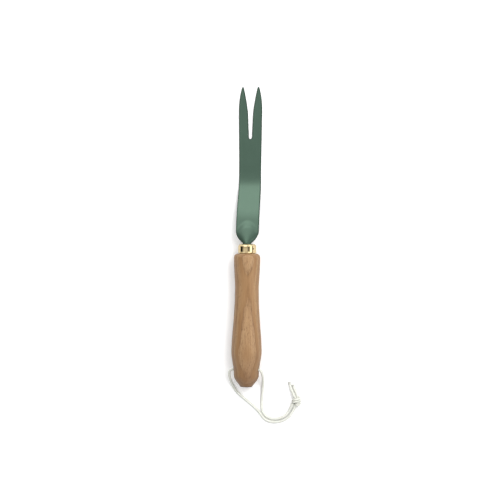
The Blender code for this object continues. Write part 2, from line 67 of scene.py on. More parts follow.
# Spigot in the ferrule: how far its end and its side reach from the shoulder's face, and their radii
SPIGOT_REACH = 0.0092
SPIGOT_SIDE_REACH = 0.0085
SPIGOT_END_RADIUS = 0.0068
SPIGOT_RADIUS = 0.0084

# Rings inside the handle's flat faces
SHOULDER_FACE_RING = 0.0096
SPIGOT_FACE_RING = 0.0034
BUTT_FACE_RING = 0.0030

# The cord's hole, the same on both sides: distance from the axis, radius, from outside the wood inwards
CROSS_HOLE = (
    (0.0260, 0.0075),
    (0.0152, 0.0046),
    (0.0142, 0.0036),
    (0.0134, 0.0029),
    (0.0127, 0.0024),
    (0.0119, 0.0021),
)

# Growth rings: height of the main ring line above the axis in belly radii, from butt (0) to shoulder (1)
GRAIN_LEVEL = (
    (0.00, 0.880), (0.076, 0.892), (0.19, 0.895), (0.34, 0.946), (0.42, 0.930), (0.49, 0.903),
    (0.60, 0.892), (0.72, 0.895), (0.83, 0.905), (0.96, 0.876), (1.00, 0.867),
)

# The pith's place below the axis and to its left, a ring's width, and the reach of painted shade from the
# butt and on its rim
PITH_DEPTH = 0.0400
PITH_ASIDE = 0.0105
RING_WIDTH = 0.0040
BUTT_SHADE_LENGTH = 0.080
BUTT_RIM_SHADE_LENGTH = 0.0018

# Ferrule
FERRULE_RADIUS = 0.0096
FERRULE_DOME = 0.0030
FERRULE_WALL = 0.0009
NECK_HOLE_RADIUS = 0.0053
HOLE_PLAY = 0.0001
HOLE_CHAMFER = 0.0002
FERRULE_GAP = 0.0003
FERRULE_REAR_ROUND = 0.0003
FERRULE_SIDE_RING = 0.0040

# Ferrule pin
PIN_ANGLE = math.radians(52)
PIN_RADIUS = 0.0008
PIN_DEPTH = 0.0048
PIN_HEAD_HEIGHT = 0.00035
PIN_FOOT_SHARE = 0.6
PIN_HEAD_RINGS = 10

# Blade: lengths forward from the ferrule's face, or back from the tips
NECK_BACK = -0.0006
BLADE_REACH = 0.1682
BLADE_THICKNESS = 0.0020
EDGE_ROUND = 0.00080
SHOULDER_START = 0.0010
SHOULDER_END = 0.0143
SHOULDER_FULLNESS = 2.1
BASE_WIDTH = 0.0247
BASE_END = 0.0340
WAIST_WIDTH = 0.0237
WAIST_AT = 0.0780
FRONT_WIDTH = 0.0251

# The crank: how far along, and how steep the sheet is there beside its other places
CRANK = (
    (0.0060, 0.0), (0.0120, 0.100), (0.0165, 0.165), (0.0250, 0.175), (0.0290, 0.215), (0.0350, 0.285),
    (0.0400, 0.312), (0.0548, 0.312), (0.0608, 0.2525), (0.0658, 0.130), (0.0702, 0.050), (0.0785, 0.0),
)

# How far the crank takes the sheet's middle down: from the axis to where its front lies on the ground
CRANK_DROP = AXIS_Z - BLADE_THICKNESS / 2

# Notch between the tines, and the tines' tips
NOTCH_DEPTH = 0.0558
NOTCH_FLOOR = BLADE_REACH - NOTCH_DEPTH
NOTCH_RADIUS = 0.00165
NOTCH_DRAFT = math.radians(2.4)
TINE_TAPER_LENGTH = 0.0240
TINE_FLARE_LENGTH = 0.0300
TIP_SPACING = 0.0168
TIP_WIDTH = 0.0014
TIP_LEAST_SHARE = 0.16
TIP_ROWS_LENGTH = 0.0008

# Blade mesh: rows round the notch's floor and at the tips, columns within the rounded edge and between
NOTCH_ROWS = 12
TIP_ROWS = 8
EDGE_COLUMNS = 5
MIDDLE_COLUMNS = 22

# The most that the rounded edge takes of a tine's width, and how near the two halves' points are one
EDGE_SHARE = 0.45
MERGE_WITHIN = 0.00001

# Boss over the tang, how quickly its half round section turns into a dome, and the width of the coat's
# painted edge shade
BOSS_SPREAD = 1.60
BOSS_FALL = 0.0034
BOSS_NOSE_START = 0.0165
BOSS_NOSE_LENGTH = 0.0090
BOSS_NOSE_ROUNDING = 0.0105
BOSS_DOMING = 3
CROWN_RADIUS = 0.0040
RIM_WIDTH = 0.0014

# Meshes: the angle from which corners are shaded as corners, and sides and rings round the pieces
SHARP_FROM = math.radians(50)
TURNED_SIDES = 144
SMALL_SIDES = 48
WELD_SIDES = 20
BODY_RINGS = 150
SHOULDER_RINGS = 14
CHAMFER_RINGS = 8
BUTT_RINGS = 6
DOME_RINGS = 12

# Comparing points with a line: how many at a time, and the least square of a step's length
COMPARED_AT_ONCE = 4000
LEAST_SQUARE = 1e-16

# Tang and its weld: lengths forward from the ferrule's face, and the spacing of the meshes' rows
TANG_RADIUS = 0.0027
TANG_BACK = -0.0909
TANG_TAPER_LENGTH = 0.0220
TANG_TIP_RADIUS = 0.0014
TANG_REACH = 0.0165
TANG_END_LENGTH = 0.0008
TANG_END_SHARE = 0.6
TANG_END_ROWS = 5
TANG_HIDDEN_SPACING = 0.0022
TANG_SEEN_SPACING = 0.0005
TANG_GAP = 0.0001
COAT_OVERLAP = 0.0008
WELD_SPACING = 0.0004
WELD_START = 0.0045
WELD_SIDE = 0.0030
WELD_RADIUS = 0.0011
WELD_END_BULGE = 0.45
WELD_SINK = 0.55
WELD_TURN_STEPS = 12
WELD_RINGS = 150
WELD_RIPPLE = 0.07
WELD_RIPPLE_TURN = 1.55
WELD_END_SHARE = 0.25
WELD_END_RINGS = 6

# Cord
CORD_DIAMETER = 0.0028
CORD_SIDES = 36
CORD_STEP = 0.00020
LEAST_CORD_STEPS = 8
PLAIN_END = 0.0008
CURVE_STEPS = 12
MOUTH_X = 0.0135
INSIDE_GAP = 0.0003
MOUTH_STRAIGHT = 0.0007
TIP_LENGTH = 0.0042

# Braid: yarns each way round, its pitch and relief in cord radii, how sharply one yarn crosses another
YARNS = 6
BRAID_PITCH = 5.2
BRAID_RELIEF = 0.09
BRAID_CROSSING = 3.0

# Shares of a yarn's height: the mean, and the one below which the surface counts as a valley
MEAN_RIDGE = 0.6
VALLEY_BELOW = 0.7

# Where along a squeezed stretch the squeeze is full
SQUEEZED_BETWEEN = (0.12, 0.88)

# Rounding of a cut end: its length in cord radii, and the share of the section that it takes
ROUND_END_LENGTH = 0.55
ROUND_END_FALL = 0.80

# The cord's routes in millimetres, from the cross hole's centre in plan and up from the ground
LEFT_ROUTE = (
    (-16.2, -0.4, 15.9), (-18.4, -3.0, 13.9), (-19.1, -7.4, 10.6), (-18.7, -12.2, 7.1),
    (-17.6, -17.0, 4.0), (-15.7, -21.3, 2.1), (-12.9, -25.4, 1.5), (-7.8, -30.0, 1.5),
    (-2.2, -34.4, 1.5), (3.4, -38.8, 1.5), (8.2, -42.8, 1.5), (12.3, -47.1, 1.5),
    (16.2, -52.3, 1.5), (21.5, -55.6, 1.5), (27.8, -56.5, 1.5), (34.1, -55.8, 1.5),
    (39.7, -53.4, 1.5), (44.1, -49.8, 1.5), (47.2, -45.5, 1.7), (49.4, -41.2, 2.7),
    (50.6, -38.3, 3.7),
)
RIGHT_ROUTE = (
    (15.3, -0.8, 16.0), (16.2, -2.8, 14.7), (16.7, -6.6, 11.6), (16.6, -10.8, 7.8),
    (16.2, -15.1, 4.4), (15.7, -19.3, 2.3), (15.2, -23.8, 1.6), (14.7, -29.9, 1.5),
    (14.3, -35.3, 1.5), (14.3, -40.6, 1.5), (15.4, -45.9, 1.5), (18.3, -50.0, 1.5),
    (22.5, -52.5, 1.5), (27.8, -53.3, 1.5), (33.2, -52.6, 1.5), (37.9, -50.6, 1.5),
    (41.5, -47.6, 1.5), (44.1, -43.9, 1.8), (46.1, -39.9, 2.9), (47.4, -37.1, 3.9),
)
LEFT_TAIL = (
    (49.2, -27.3, 4.5),
    (46.9, -22.9, 2.6),
    (45.2, -18.7, 1.6),
    (43.7, -13.4, 1.5),
)
RIGHT_TAIL = (
    (52.7, -26.9, 4.5),
    (50.6, -22.8, 2.6),
    (48.9, -19.5, 1.6),
    (47.4, -16.3, 1.5),
)
KNOT_CENTRE = (52.1, -33.4, 4.6)

# In and out of the knot's turns, in millimetres about its centre: strands' middle, way to the left strand
KNOT_IN = (
    ((-1.7, -2.3, -1.1), (1.0, 0.0, 0.0)),
    ((-1.1, 0.4, -1.2), (1.0, 0.0, 0.0)),
    ((-0.5, 2.3, -2.0), (0.75, -0.66, 0.0)),
)
KNOT_OUT = (
    ((0.9, -1.1, 1.8), (-0.7, -0.7, 0.0)),
    ((0.8, 1.0, 1.1), (-1.0, 0.0, 0.0)),
    ((0.1, 3.6, 0.9), (-1.0, 0.0, 0.0)),
)

# The turns: steps, half widths across and up, first and last angle, first and last place along the knot
KNOT_STEPS = 16
KNOT_TURN_RADIUS = (3.5, 3.35)
KNOT_TURNS = (math.radians(-62), math.radians(428))
KNOT_TURN_PLACES = (2.7, -2.5)

# Half of the distance between the two strands, and how thin the knot squeezes them
KNOT_HALF_SPREAD = 1.15
KNOT_SQUEEZE = 0.88

# Painted shade in the knot's creases: how near another stretch darkens it, and how far it is still the same
# stretch
CREASE_REACH = 0.0007
SAME_STRETCH = 0.0032

# A gap that keeps the two strands' step numbers apart, and the parts in which the points are compared
STRAND_STEPS_APART = 10000
CREASE_PARTS = 12

# Camera
CAMERA_LEAN = math.radians(10.0)
CAMERA_ROLL = math.radians(0.4)
CAMERA_TARGET = (0.00310, -0.01510, 0.01640)
CAMERA_DISTANCE = 1.150
PICTURE_PIXELS = 500.0
METRES_PER_PIXEL = 0.001055
SENSOR_WIDTH = 36.0

# Studio dome: its brightness in the plane across the tool, by degrees from straight up towards +X
DOME_SCALE = 3.0
DOME = (
    (-88, 0.60), (-81, 0.60), (-78, 0.01), (-54, 0.01), (-50, 0.24), (-42, 0.42), (-30, 0.72),
    (8, 0.70), (17, 0.45), (22, 0.18), (31, 0.18), (36, 0.52), (76, 0.60), (80, 0.40), (89, 0.40),
)

# A dimmer band a little forward of that plane, by the share of the direction along +Y
GAP = ((0.02, 1.0), (0.05, 0.72), (0.12, 0.70), (0.16, 0.62), (0.22, 1.0))

# The dome's brightness away from that plane, by the share of the direction along +X
AWAY = (
    (-1.00, 0.90), (-0.45, 0.90), (-0.25, 0.62), (0.26, 0.62), (0.40, 1.60), (0.66, 1.60),
    (0.82, 0.42), (1.00, 0.42),
)

# How far that takes over, by the share of the direction along the tool
AWAY_WEIGHT = ((0.18, 0.0), (0.38, 1.0))

# A bright panel forward of the tool, by the shares of the direction along +Y and along +X
PANEL_ALONG = (
    (0.11, 0.0), (0.22, 0.34), (0.32, 0.52), (0.48, 1.42), (0.70, 1.42), (0.85, 0.30), (1.00, 0.0),
)
PANEL_ACROSS = ((-0.60, 0.0), (-0.38, 1.0), (0.0, 1.0), (0.18, 0.0))

# Floor: its brightness to the camera and in the light that it returns, its half width and its height
FLOOR_SHOWN = 1.11
FLOOR_BOUNCE = 0.70
FLOOR_HALF = 2.0
FLOOR_Z = -0.0001

# Lamps: place, the two lengths of the area, radiance, whether gloss shows it
LAMPS = (
    ("right", (1.08, 0.00, 0.625), (0.90, 0.40), 2.0, True),
    ("key", (0.54, 0.36, 1.00), (0.44, 0.50), 10.6, False),
    ("ahead", (-0.10, 0.82, 0.86), (0.80, 0.50), 0.8, True),
)


def srgb(red, green, blue):
    """A linear colour from 0 to 255 screen values."""
    linear = []
    for value in (red, green, blue):
        share = value / 255
        linear.append(share / 12.92 if share <= 0.04045 else ((share + 0.055) / 1.055) ** 2.4)
    return (*linear, 1.0)


def grey(level):
    return (level, level, level, 1.0)


class Nodes:
    """Short calls for a node tree."""

    def __init__(self, tree):
        self.tree = tree

    def feed(self, socket, value):
        """Links a node's output to a socket, or sets the socket's own value."""
        if isinstance(value, bpy.types.NodeSocket):
            self.tree.links.new(value, socket)
        else:
            socket.default_value = value

    def node(self, kind, inputs=None, **settings):
        made = self.tree.nodes.new(kind)
        for key, value in settings.items():
            setattr(made, key, value)
        for key, value in (inputs or {}).items():
            self.feed(made.inputs[key], value)
        return made

    def math(self, operation, *values, clamp=False):
        made = self.node("ShaderNodeMath", dict(enumerate(values)), operation=operation, use_clamp=clamp)
        return made.outputs[0]

    def ramp(self, factor, stops):
        """A linear ramp of colours or of grey levels."""
        made = self.node("ShaderNodeValToRGB", {0: factor})
        ramp = made.color_ramp
        ramp.elements.remove(ramp.elements[1])
        ramp.elements[0].position = stops[0][0]
        for place, _ in stops[1:]:
            ramp.elements.new(place)
        for element, (_, colour) in zip(ramp.elements, stops):
            element.color = colour if hasattr(colour, "__len__") else grey(colour)
        return made.outputs[0]

    def mix(self, factor, first, second, blend="MIX"):
        """A colour mix: of its sockets, 0 is the factor, and 6 and 7 are the colours."""
        inputs = {0: factor, 6: first, 7: second}
        return self.node("ShaderNodeMix", inputs, data_type="RGBA", blend_type=blend).outputs[2]

    def noise(self, vector, scale, detail=2.0, roughness=0.5):
        inputs = {"Vector": vector, "Scale": scale, "Detail": detail, "Roughness": roughness}
        return self.node("ShaderNodeTexNoise", inputs).outputs[0]

    def stretched(self, vector, scale, detail, roughness=0.5):
        """Noise with its own scale along each axis."""
        made = self.node("ShaderNodeMapping", {"Vector": vector, "Scale": scale})
        return self.noise(made.outputs[0], 1.0, detail, roughness)

    def bump(self, height, strength, distance):
        inputs = {"Height": height, "Strength": strength, "Distance": distance}
        return self.node("ShaderNodeBump", inputs).outputs[0]

    def stain(self, base, share, strength, colour):
        """The base turned towards a colour by a share of a strength."""
        return self.mix(self.math("MULTIPLY", share, strength), base, colour)

    def place(self):
        return self.node("ShaderNodeTexCoord").outputs["Object"]

    def attribute(self, name):
        return self.node("ShaderNodeAttribute", attribute_name=name).outputs["Fac"]

    def shade(self, inputs):
        """Feeds the Principled shader."""
        for key, value in inputs.items():
            self.feed(self.tree.nodes["Principled BSDF"].inputs[key], value)


def new_material(name):
    material = bpy.data.materials.new(name)
    material.use_nodes = True
    return material, Nodes(material.node_tree)


def shape_curve(mapping, points):
    """Sets a curve node's points."""
    curve = mapping.curves[0]
    while len(curve.points) < len(points):
        curve.points.new(0.5, 0.5)
    for point, place in zip(curve.points, points):
        point.location = place
    mapping.update()


def powder_coat():
    """Satin green coat: fine orange peel, faint mottling, and painted shade along the cut edges."""
    material, nodes = new_material("powder_coat")
    place = nodes.place()
    rim = nodes.attribute("rim")
    broad = nodes.noise(place, 60.0, 3.0)
    peel = nodes.noise(place, 700.0, 2.0)
    fine = nodes.noise(place, 2600.0, 1.0)
    base = nodes.ramp(broad, ((0.3, srgb(40, 56, 48)), (0.7, srgb(45, 61, 53))))
    speck = nodes.ramp(fine, ((0.62, 0.0), (0.76, 0.35)))
    colour = nodes.mix(speck, base, srgb(82, 108, 94))
    # Painted shade: the coat darkens along the sheet's cut edges, where its gloss is also duller
    painted_rim_shade = nodes.ramp(rim, ((0.05, 0.0), (0.75, 0.62), (1.0, 0.80)))
    colour = nodes.mix(painted_rim_shade, colour, srgb(34, 46, 40))
    rough = nodes.math("MULTIPLY_ADD", peel, 0.10, 0.27)
    nodes.shade({
        "Base Color": colour,
        "Roughness": nodes.math("MULTIPLY_ADD", rim, 0.20, rough),
        "IOR": 1.65,
        "Specular IOR Level": nodes.math("MULTIPLY_ADD", rim, -0.65, 0.90),
        "Specular Tint": (0.66, 1.0, 0.76, 1.0),
        "Normal": nodes.bump(peel, 0.10, 0.0001),
    })
    return material


def brass():
    """Polished brass: fine turning rings round the axis and slight tarnish."""
    material, nodes = new_material("turned_brass")
    place = nodes.place()
    rings = nodes.stretched(place, (30.0, 6000.0, 30.0), 3.0)
    tarnish = nodes.noise(place, 140.0, 4.0)
    colour = nodes.ramp(tarnish, ((0.35, (0.84, 0.65, 0.35, 1.0)), (0.7, (0.92, 0.74, 0.44, 1.0))))
    nodes.shade({
        "Base Color": colour,
        "Metallic": 1.0,
        "Roughness": nodes.math("MULTIPLY_ADD", rings, 0.05, 0.03),
        "Normal": nodes.bump(rings, 0.05, 0.0001),
    })
    return material


def pin_metal():
    """The pin's head: lightly hammered, and coloured near black as painted shade."""
    material, nodes = new_material("dark_pin")
    place = nodes.place()
    marks = nodes.noise(place, 1800.0, 3.0)
    # Painted shade: near black for the dark spot that the pin shows in the ferrule, not the colour of its
    # metal
    colour = nodes.ramp(marks, ((0.35, (0.010, 0.008, 0.006, 1.0)), (0.7, (0.030, 0.022, 0.015, 1.0))))
    nodes.shade({
        "Base Color": colour,
        "Metallic": 0.6,
        "Roughness": nodes.math("MULTIPLY_ADD", marks, 0.2, 0.50),
        "Normal": nodes.bump(marks, 0.3, 0.0001),
    })
    return material


def ash_wood():
    """Turned ash: wide growth rings that break out as a V at the shoulder and a long oval on the belly,
    open pores above each ring line, fibres, and painted shade towards the butt and on its rim.
    """
    material, nodes = new_material("turned_ash_wood")
    place = nodes.place()
    across, along, up = nodes.node("ShaderNodeSeparateXYZ", {"Vector": place}).outputs
    wander = nodes.math("SUBTRACT", nodes.stretched(place, (60.0, 24.0, 60.0), 2.0), 0.5)
    ripple = nodes.math("SUBTRACT", nodes.stretched(place, (420.0, 55.0, 420.0), 2.0), 0.5)
    from_butt = nodes.math("SUBTRACT", along, BUTT_Y)
    share = nodes.math("MULTIPLY", from_butt, 1 / HANDLE_LENGTH, clamp=True)
    level = nodes.node("ShaderNodeFloatCurve", {"Value": share})
    shape_curve(level.mapping, GRAIN_LEVEL)
    side = nodes.math("ADD", across, PITH_ASIDE)
    depth = nodes.math("ADD", nodes.math("SUBTRACT", up, AXIS_Z), PITH_DEPTH)
    squares = nodes.math("ADD", nodes.math("MULTIPLY", side, side), nodes.math("MULTIPLY", depth, depth))
    from_pith = nodes.math("SUBTRACT", nodes.math("SQRT", squares), PITH_DEPTH)
    height = nodes.math("SUBTRACT", from_pith, nodes.math("MULTIPLY", level.outputs[0], BELLY_RADIUS))
    height = nodes.math("MULTIPLY_ADD", wander, 0.0016, height)
    height = nodes.math("MULTIPLY_ADD", ripple, 0.0005, height)
    ring = nodes.math("FRACT", nodes.math("MULTIPLY_ADD", height, 1 / RING_WIDTH, 6.0))
    fading = ((0.0, 0.95), (0.035, 0.85), (0.11, 0.25), (0.20, 0.0))
    line = nodes.ramp(ring, (*fading, (0.90, 0.0), (0.985, 0.55), (1.0, 0.95)))
    porous = nodes.ramp(ring, ((0.0, 1.0), (0.42, 0.75), (0.72, 0.12), (1.0, 0.05)))
    fibre = nodes.stretched(place, (2200.0, 60.0, 2200.0), 3.0, 0.6)
    streaks = nodes.stretched(place, (700.0, 16.0, 700.0), 2.0, 0.6)
    pores = nodes.stretched(place, (2300.0, 240.0, 2300.0), 1.0)
    mottle = nodes.stretched(place, (110.0, 30.0, 110.0), 3.0)
    early = nodes.mix(mottle, srgb(160, 127, 90), srgb(181, 148, 109))
    late = nodes.mix(mottle, srgb(140, 105, 67), srgb(161, 125, 84))
    wood = nodes.mix(porous, late, early)
    streak = nodes.ramp(streaks, ((0.35, 1.0), (0.60, 0.0)))
    wood = nodes.stain(wood, streak, 0.36, srgb(128, 90, 56))
    thread = nodes.ramp(fibre, ((0.32, 1.0), (0.60, 0.0)))
    wood = nodes.stain(wood, thread, 0.22, srgb(110, 76, 48))
    gaps = nodes.stretched(place, (650.0, 60.0, 650.0), 3.0, 0.6)
    broken = nodes.ramp(gaps, ((0.36, 0.22), (0.62, 0.78)))
    wood = nodes.mix(nodes.math("MULTIPLY", line, broken), wood, srgb(104, 70, 38))
    open_pore = nodes.ramp(pores, ((0.585, 0.0), (0.66, 1.0)))
    pore = nodes.math("MULTIPLY", open_pore, nodes.math("MULTIPLY_ADD", porous, 0.85, 0.10))
    wood = nodes.stain(wood, pore, 0.65, srgb(88, 58, 34))
    # Painted shade: the wood darkens towards the butt, and more on its rim, where the end turns from the
    # light
    near_butt = nodes.math("MULTIPLY", from_butt, 1 / BUTT_SHADE_LENGTH, clamp=True)
    butt_painted_shade = nodes.ramp(near_butt, ((0.0, 0.60), (0.18, 0.42), (0.45, 0.14), (0.90, 0.0)))
    wood = nodes.mix(butt_painted_shade, wood, srgb(106, 74, 46))
    at_butt = nodes.math("MULTIPLY", from_butt, 1 / BUTT_RIM_SHADE_LENGTH, clamp=True)
    rim = nodes.ramp(at_butt, ((0.15, 0.80), (0.95, 0.0)))
    wood = nodes.mix(rim, wood, srgb(60, 40, 26))
    lathe_marks = nodes.stretched(place, (20.0, 2400.0, 20.0), 1.0)
    relief = nodes.math("SUBTRACT", nodes.math("MULTIPLY_ADD", lathe_marks, 0.12, fibre), pore)
    nodes.shade({
        "Base Color": wood,
        "Roughness": nodes.math("MULTIPLY_ADD", fibre, 0.14, 0.36),
        "Specular IOR Level": 0.5,
        "Normal": nodes.bump(relief, 0.22, 0.0002),
    })
    return material


def cotton():
    """Undyed cotton: matt yarn with fine fibres and a soft sheen, painted shade between the yarns and in the
    knot's creases, and darker tips.
    """
    material, nodes = new_material("undyed_cotton")
    place = nodes.place()
    fibre = nodes.noise(place, 5200.0, 3.0)
    broad = nodes.noise(place, 240.0, 2.0)
    colour = nodes.ramp(broad, ((0.3, srgb(217, 218, 209)), (0.7, srgb(228, 229, 221))))
    colour = nodes.stain(colour, fibre, 0.12, srgb(196, 196, 184))
    # Painted shade: the cotton darkens in the valleys between the yarns
    yarn_valley_shade = nodes.attribute("yarn_valley_shade")
    colour = nodes.stain(colour, yarn_valley_shade, 0.36, srgb(150, 150, 138))
    # Painted shade: the cotton darkens in the knot's creases
    crease = nodes.attribute("crease")
    colour = nodes.stain(colour, crease, 0.80, srgb(128, 128, 118))
    tip = nodes.attribute("tip")
    colour = nodes.stain(colour, tip, 0.85, srgb(142, 142, 136))
    nodes.shade({
        "Base Color": colour,
        "Roughness": 0.9,
        "Sheen Weight": 0.12,
        "Normal": nodes.bump(fibre, 0.35, 0.00015),
    })
    return material


def steel():
    """The tang and its weld: green coat outside the ferrule, bare steel inside."""
    material, nodes = new_material("tang_coat")
    place = nodes.place()
    fine = nodes.noise(place, 700.0, 3.0)
    along = nodes.node("ShaderNodeSeparateXYZ", {"Vector": place}).outputs[1]
    outside = nodes.math("GREATER_THAN", along, FACE_Y - COAT_OVERLAP)
    bare = nodes.ramp(fine, ((0.3, (0.26, 0.25, 0.24, 1.0)), (0.7, (0.42, 0.41, 0.40, 1.0))))
    nodes.shade({
        "Base Color": nodes.mix(outside, bare, srgb(80, 102, 90)),
        "Metallic": nodes.math("SUBTRACT", 1.0, outside),
        "Roughness": nodes.math("MULTIPLY_ADD", fine, 0.15, 0.35),
        "Normal": nodes.bump(fine, 0.2, 0.0002),
    })
    return material


def new_object(name, data):
    """An object of the given data, in the scene."""
    made = bpy.data.objects.new(name, data)
    bpy.context.scene.collection.objects.link(made)
    return made


def add_piece(name, mesh, material, replaced):
    """A piece that rides on the frame and stands for CAD nodes."""
    mesh.materials.append(material)
    mesh.shade_smooth()
    mesh.set_sharp_from_angle(angle=SHARP_FROM)
    piece = new_object(name, mesh)
    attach(piece, "root")
    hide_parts(*replaced)
    return piece


def mesh_of(name, points, faces):
    mesh = bpy.data.meshes.new(name)
    mesh.from_pydata([tuple(point) for point in points], [], [tuple(int(i) for i in face) for face in faces])
    mesh.update()
    return mesh


def outward(mesh):
    """Turns every face of a closed mesh to the outside."""
    form = bmesh.new()
    form.from_mesh(mesh)
    bmesh.ops.recalc_face_normals(form, faces=form.faces)
    form.to_mesh(mesh)
    form.free()
    return mesh


def shaped_mesh(name, shaping):
    """The mesh that an object's modifiers make. The object itself is removed."""
    graph = bpy.context.evaluated_depsgraph_get()
    made = bpy.data.meshes.new_from_object(shaping.evaluated_get(graph))
    bpy.data.objects.remove(shaping)
    made.name = name
    return made


def circle(sides):
    """(sine, cosine) at equal steps round a full turn."""
    angles = [2 * math.pi * step / sides for step in range(sides)]
    return [(math.sin(angle), math.cos(angle)) for angle in angles]


def quarter(steps):
    """(sine, cosine) at equal steps through a quarter turn, both ends included."""
    angles = [math.pi / 2 * step / steps for step in range(steps + 1)]
    return [(math.sin(angle), math.cos(angle)) for angle in angles]


def turned(profile, sides):
    """Rings of points about the tool's axis from (y, radius) pairs."""
    points = []
    for y, radius in profile:
        points += [(radius * sine, y, AXIS_Z + radius * cosine) for sine, cosine in circle(sides)]
    return points


def ring_faces(rings, sides, closed=False):
    """Faces between neighbouring rings of points, and from the last ring back to the first one if closed."""
    faces = []
    for ring in range(rings if closed else rings - 1):
        a, b = ring * sides, (ring + 1) % rings * sides
        for step in range(sides):
            other = (step + 1) % sides
            faces.append((a + step, a + other, b + other, b + step))
    return faces


def tube_faces(rings, sides):
    """Faces between rings of points, and one over each end."""
    last = (rings - 1) * sides
    ends = [tuple(range(sides)), tuple(reversed(range(last, last + sides)))]
    return ring_faces(rings, sides) + ends


def fanned_faces(rings, sides):
    """Faces between rings of points, and a fan over each end round the two points that follow the rings."""
    faces = ring_faces(rings, sides)
    start = (rings - 1) * sides
    first, last = rings * sides, rings * sides + 1
    for step in range(sides):
        other = (step + 1) % sides
        faces += [(first, other, step), (last, start + step, start + other)]
    return faces


def curve_through(points):
    """A finely stepped smooth curve through the given points."""
    padded = [2 * points[0] - points[1], *points, 2 * points[-1] - points[-2]]
    fine = []
    for a, b, c, d in zip(padded, padded[1:], padded[2:], padded[3:]):
        for step in range(CURVE_STEPS):
            t = step / CURVE_STEPS
            cubic = (3 * b - a - 3 * c + d) * t**3 + (2 * a - 5 * b + 4 * c - d) * t**2
            fine.append(b + (cubic + (c - a) * t) / 2)
    fine.append(points[-1])
    return fine


def route_length(route):
    return sum((there - here).length for here, there in zip(route, route[1:]))


def spread_evenly(line, count):
    """The ends of a line of points and count - 1 more, equally far apart along it."""
    travelled = [0.0]
    for here, there in zip(line, line[1:]):
        travelled.append(travelled[-1] + (there - here).length)
    spread = []
    index = 0
    for step in range(count):
        wanted = travelled[-1] * step / count
        while travelled[index + 1] <= wanted:
            index += 1
        share = (wanted - travelled[index]) / (travelled[index + 1] - travelled[index])
        spread.append(line[index].lerp(line[index + 1], share))
    spread.append(line[-1])
    return spread


def cross_hole_cutter():
    """The cord's hole with its two softly rounded mouths."""
    profile = [(-x, radius) for x, radius in CROSS_HOLE] + list(reversed(CROSS_HOLE))
    points = []
    steps = circle(SMALL_SIDES)
    for x, radius in profile:
        points += [(x, HOLE_Y + radius * sine, AXIS_Z + radius * cosine) for sine, cosine in steps]
    faces = tube_faces(len(profile), SMALL_SIDES)
    return new_object("cross_hole_cutter", outward(mesh_of("cross_hole_cutter", points, faces)))


def handle_profile():
    """(y, radius) pairs from the spigot's end over the shoulder and the belly to the butt."""
    spigot_end = SHOULDER_Y + SPIGOT_REACH
    profile = [
        (spigot_end, SPIGOT_FACE_RING),
        (spigot_end, SPIGOT_END_RADIUS),
        (SHOULDER_Y + SPIGOT_SIDE_REACH, SPIGOT_RADIUS),
        (SHOULDER_Y, SPIGOT_RADIUS),
        (SHOULDER_Y, SHOULDER_FACE_RING),
    ]
    rise = SHOULDER_RADIUS - SHOULDER_FACE_RADIUS
    for sine, cosine in reversed(quarter(SHOULDER_RINGS)[1:]):
        profile.append((SHOULDER_Y - SHOULDER_ROUND * (1 - sine), SHOULDER_FACE_RADIUS + rise * cosine))
    outline = [Vector((BUTT_Y + along, radius, 0.0)) for along, radius in HANDLE_OUTLINE]
    body = spread_evenly(curve_through(outline), BODY_RINGS)
    profile += [(point.x, point.y) for point in body]
    along, radius = CHAMFER_END
    start = body[-1]
    for step in range(1, CHAMFER_RINGS):
        share = step / CHAMFER_RINGS
        profile.append((start.x + (BUTT_Y + along - start.x) * share, start.y + (radius - start.y) * share))
    for sine, cosine in quarter(BUTT_RINGS):
        profile.append((BUTT_Y + BUTT_ROUND * (1 - sine), radius - BUTT_ROUND * (1 - cosine)))
    profile.append((BUTT_Y, BUTT_FACE_RING))
    return profile


def make_handle(material):
    """The turned handle with its cross hole."""
    profile = handle_profile()
    points = turned(profile, TURNED_SIDES)
    points += [(0.0, profile[0][0], AXIS_Z), (0.0, profile[-1][0], AXIS_Z)]
    mesh = outward(mesh_of("handle_skin", points, fanned_faces(len(profile), TURNED_SIDES)))
    cutter = cross_hole_cutter()
    shaping = new_object("handle_shaping", mesh)
    boolean = shaping.modifiers.new("Cross hole", "BOOLEAN")
    boolean.operation = "DIFFERENCE"
    boolean.solver = "EXACT"
    boolean.object = cutter
    cut = shaped_mesh("handle_skin", shaping)
    bpy.data.objects.remove(cutter)
    cut.materials.clear()
    return add_piece("handle_skin", cut, material, ["handle"])


def make_ferrule(material):
    """The brass cap with its domed front edge, its wall and the hole for the neck."""
    centre_y = FACE_Y - FERRULE_DOME
    centre_radius = FERRULE_RADIUS - FERRULE_DOME
    hole = NECK_HOLE_RADIUS + HOLE_PLAY
    profile = [(FACE_Y - FERRULE_WALL, hole), (FACE_Y - HOLE_CHAMFER, hole), (FACE_Y, hole + HOLE_CHAMFER)]
    for sine, cosine in reversed(quarter(DOME_RINGS)):
        profile.append((centre_y + FERRULE_DOME * sine, centre_radius + FERRULE_DOME * cosine))
    rear = SHOULDER_Y + FERRULE_GAP
    inner = FERRULE_RADIUS - FERRULE_WALL
    profile += [
        (SHOULDER_Y + FERRULE_SIDE_RING, FERRULE_RADIUS),
        (rear + FERRULE_REAR_ROUND, FERRULE_RADIUS),
        (rear + FERRULE_REAR_ROUND / 3, FERRULE_RADIUS - FERRULE_REAR_ROUND / 3),
        (rear, FERRULE_RADIUS - FERRULE_REAR_ROUND),
        (rear, inner),
        (centre_y, inner),
    ]
    inside = FERRULE_DOME - FERRULE_WALL
    for sine, cosine in quarter(DOME_RINGS // 2)[1:]:
        profile.append((centre_y + inside * sine, centre_radius + inside * cosine))
    faces = ring_faces(len(profile), TURNED_SIDES, closed=True)
    mesh = outward(mesh_of("ferrule_skin", turned(profile, TURNED_SIDES), faces))
    return add_piece("ferrule_skin", mesh, material, ["ferrule"])


